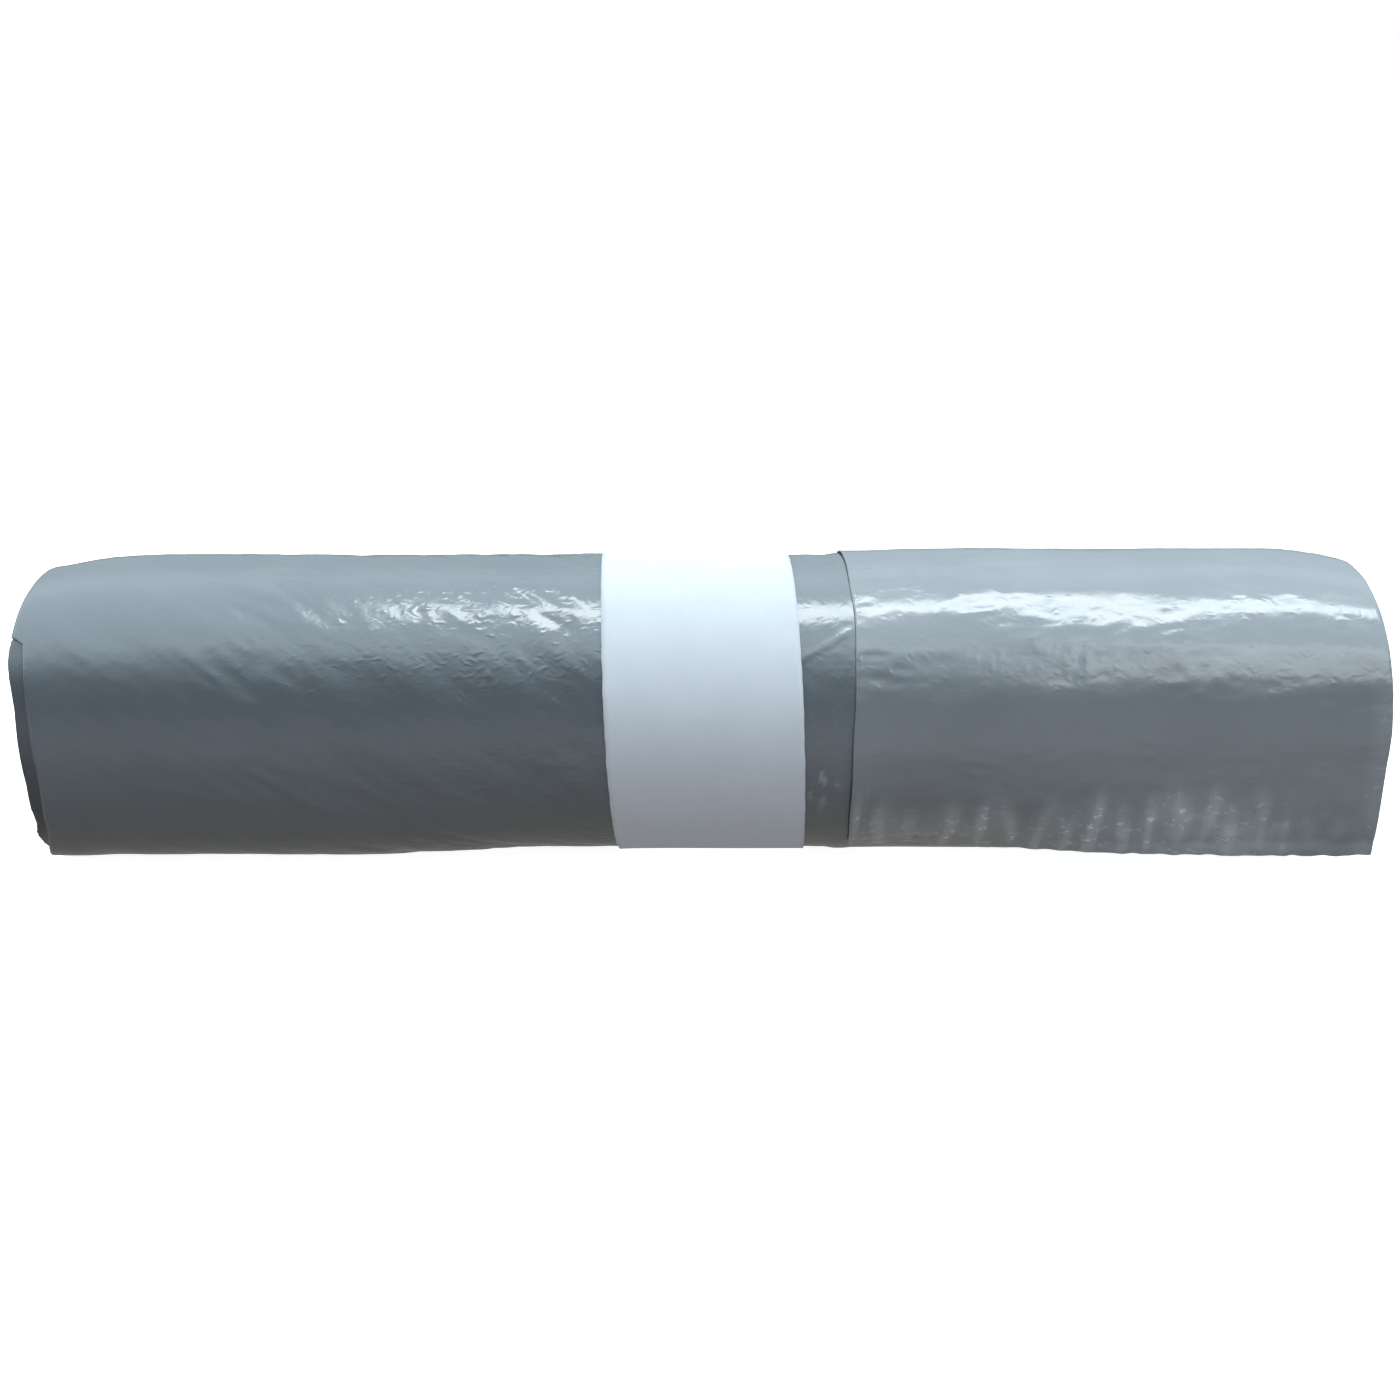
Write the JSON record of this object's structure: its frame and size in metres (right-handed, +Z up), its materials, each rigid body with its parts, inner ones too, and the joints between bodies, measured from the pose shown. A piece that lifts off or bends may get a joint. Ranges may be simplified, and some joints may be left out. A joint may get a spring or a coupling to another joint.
{
  "type": "roll of refuse sacks",
  "caption": "Coreless roll of grey polythene refuse sacks, folded to half width, held round its middle by a blank white paper band.",
  "frame": {"origin": "middle of the underside, on the surface that the roll lies on", "axes": "+X along the roll towards the end with the folded-over loose panel, -Y towards the front where the loose end hangs, +Z up"},
  "size_m": [0.3515, 0.0848, 0.0816],
  "materials": {
    "film": "glossy grey polythene film, slightly blue, finely crinkled",
    "band_paper": "matt white uncoated paper, blank"
  },
  "bodies": {
    "roll": {"sack_01": "film", "sack_02": "film", "sack_03": "film", "sack_04": "film", "sack_05": "film", "sack_06": "film", "sack_07": "film", "sack_08": "film", "sack_09": "film", "sack_10": "film", "sack_11": "film", "sack_12": "film", "sack_13": "film", "sack_14": "film", "sack_15": "film", "sack_16": "film", "sack_17": "film", "sack_18": "film", "sack_19": "film", "sack_20": "film", "sack_21": "film", "sack_22": "film", "sack_23": "film", "sack_24": "film", "sack_25": "film"},
    "loose_panel": {"sack_25_loose_panel": "film"},
    "band": {"paper_band": "band_paper"}
  },
  "joints": [
    {"name": "free_end_lift", "type": "hinge", "parent": "roll", "child": "loose_panel", "pos_m": [0, -0.00369, 0.08132], "axis": [-1, 0, 0], "range_deg": [0, 60]},
    {"name": "band_slide", "type": "slide", "parent": "roll", "child": "band", "axis": [1, 0, 0], "range_m": [-0.215, 0.006]}
  ]
}
